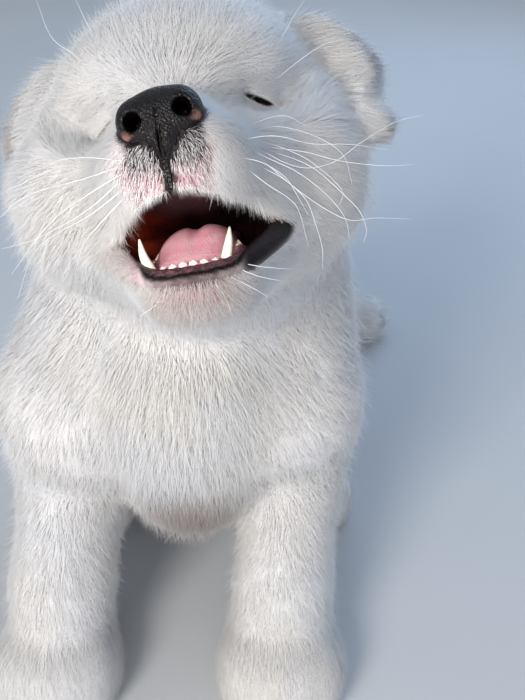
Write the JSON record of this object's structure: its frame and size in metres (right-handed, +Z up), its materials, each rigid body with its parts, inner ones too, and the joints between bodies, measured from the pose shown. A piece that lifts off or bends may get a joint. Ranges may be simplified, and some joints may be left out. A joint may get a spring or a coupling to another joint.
{
  "type": "samoyed puppy",
  "caption": "Life-size still model of a young samoyed puppy, sitting with straight forelegs, its head thrown back and its mouth open.",
  "frame": {"origin": "middle of the box under the sitting puppy, on the floor plane", "axes": "-Y towards the forepaws and the nose, +X to the puppy's left, +Z up"},
  "size_m": [0.216, 0.3258, 0.3065],
  "materials": {
    "coat": "long soft white double coat",
    "short_coat": "short velvety white hair over pink-grey skin",
    "nose_leather": "moist pebbled black skin",
    "tongue": "wet pink skin",
    "teeth": "polished ivory enamel on pink gum",
    "eyes": "wet dark brown"
  },
  "bodies": {
    "root": {"head": "coat", "muzzle": "short_coat", "lower_jaw": "short_coat", "nose": "nose_leather", "tongue": "tongue", "lower_teeth": "teeth", "eye_left": "eyes", "eye_right": "eyes", "ear_left": "coat", "ear_right": "coat", "neck": "coat", "torso": "coat", "tail": "coat", "foreleg_left": "coat", "foreleg_right": "coat", "forepaw_left": "short_coat", "forepaw_right": "short_coat", "hindleg_left": "coat", "hindleg_right": "coat", "hindpaw_left": "short_coat", "hindpaw_right": "short_coat"}
  },
  "joints": []
}
